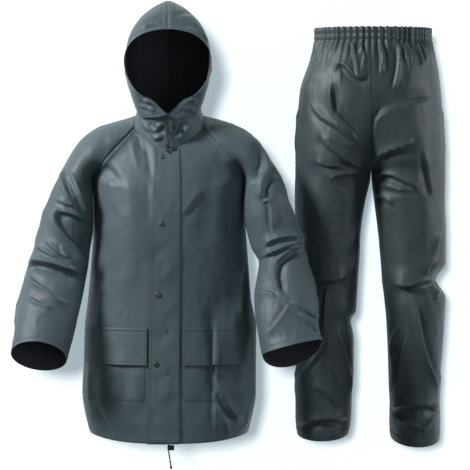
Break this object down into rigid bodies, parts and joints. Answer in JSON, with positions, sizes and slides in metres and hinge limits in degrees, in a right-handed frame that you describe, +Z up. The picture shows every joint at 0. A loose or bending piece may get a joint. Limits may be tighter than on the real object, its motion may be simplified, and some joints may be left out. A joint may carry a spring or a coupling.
{
  "type": "rain suit",
  "caption": "Hooded raglan rain jacket with a storm flap, flapped patch pockets and drawcords, beside its elastic-waist rain trousers, both filled out as if worn",
  "frame": {"origin": "middle of the jacket's neck at the height of its shoulders, where the jacket is held", "axes": "X to the viewer's right of the front, Y away from the viewer, Z up"},
  "size_m": [1.081, 0.4399, 1.1626],
  "materials": {
    "front_left": "coated cloth, semi-gloss",
    "front_right": "coated cloth, semi-gloss",
    "back": "coated cloth, semi-gloss",
    "sleeve_left": "coated cloth, semi-gloss",
    "sleeve_right": "coated cloth, semi-gloss",
    "collar": "coated cloth, semi-gloss",
    "hood_left": "coated cloth, semi-gloss",
    "hood_right": "coated cloth, semi-gloss",
    "storm_flap": "coated cloth, semi-gloss",
    "zip": "woven tape with moulded teeth",
    "pocket_left": "coated cloth, semi-gloss",
    "pocket_right": "coated cloth, semi-gloss",
    "pocket_flap_left": "coated cloth, semi-gloss",
    "pocket_flap_right": "coated cloth, semi-gloss",
    "stud_1": "smooth black",
    "stud_2": "smooth black",
    "stud_3": "smooth black",
    "stud_4": "smooth black",
    "hood_cord_left": "braided cord",
    "hood_cord_right": "braided cord",
    "hood_lock_left": "smooth black",
    "hood_lock_right": "smooth black",
    "hem_cord": "braided cord",
    "hem_lock": "smooth black",
    "hem_knob": "smooth black",
    "waist_casing": "coated cloth, semi-gloss",
    "leg_left_front": "coated cloth, semi-gloss",
    "leg_left_back": "coated cloth, semi-gloss",
    "leg_right_front": "coated cloth, semi-gloss",
    "leg_right_back": "coated cloth, semi-gloss"
  },
  "bodies": {
    "root": {"front_left": "front_left", "front_right": "front_right", "back": "back", "sleeve_left": "sleeve_left", "sleeve_right": "sleeve_right", "collar": "collar", "hood_left": "hood_left", "hood_right": "hood_right", "storm_flap": "storm_flap", "zip": "zip", "pocket_left": "pocket_left", "pocket_right": "pocket_right", "pocket_flap_left": "pocket_flap_left", "pocket_flap_right": "pocket_flap_right", "stud_1": "stud_1", "stud_2": "stud_2", "stud_3": "stud_3", "stud_4": "stud_4", "hood_cord_left": "hood_cord_left", "hood_cord_right": "hood_cord_right", "hood_lock_left": "hood_lock_left", "hood_lock_right": "hood_lock_right", "hem_cord": "hem_cord", "hem_lock": "hem_lock", "hem_knob": "hem_knob", "waist_casing": "waist_casing", "leg_left_front": "leg_left_front", "leg_left_back": "leg_left_back", "leg_right_front": "leg_right_front", "leg_right_back": "leg_right_back"}
  },
  "joints": []
}
